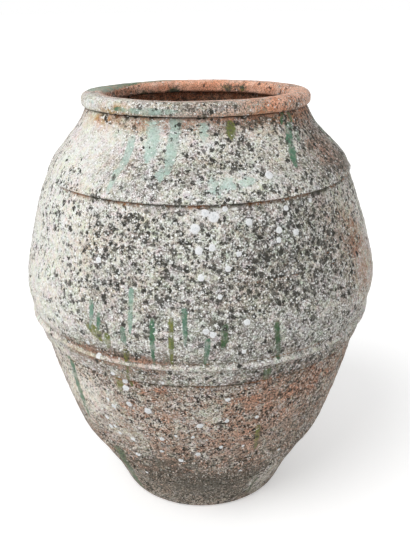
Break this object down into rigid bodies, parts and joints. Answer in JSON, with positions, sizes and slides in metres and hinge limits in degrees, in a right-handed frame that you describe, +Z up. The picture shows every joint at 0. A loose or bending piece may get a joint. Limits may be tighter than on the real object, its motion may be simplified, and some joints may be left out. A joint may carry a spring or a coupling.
{
  "type": "olive jar",
  "caption": "Large earthenware storage jar with a flat round foot, a full belly under a raised band, a lapped shoulder and a rolled rim round a wide open mouth.",
  "frame": {"origin": "centre of the underside, on the plane that the jar stands on", "axes": "+Z up along the jar's axis, out of its mouth; -Y faces the picture's viewer"},
  "size_m": [0.7422, 0.7422, 0.9],
  "materials": {
    "base_clay": "bare fired clay, dark and sooty round the foot",
    "lower_clay": "bare fired clay, salmon brown, with pale crust and dark pits",
    "band_clay": "bare fired clay under a pale crust",
    "belly_clay": "bare fired clay under grey crust and black lichen, with runs of green glaze",
    "shoulder_clay": "bare fired clay under pale grey crust and black lichen",
    "neck_clay": "bare fired clay, orange salmon",
    "rim_clay": "bare fired clay, salmon, with worn patches of green glaze"
  },
  "bodies": {
    "root": {"floor_slab": "base_clay", "foot_wall": "base_clay", "lower_wall": "lower_clay", "lower_belly_wall": "lower_clay", "belly_band": "band_clay", "belly_wall": "belly_clay", "upper_belly_wall": "belly_clay", "shoulder_wall": "shoulder_clay", "neck_ring": "neck_clay", "rim_roll": "rim_clay"}
  },
  "joints": []
}
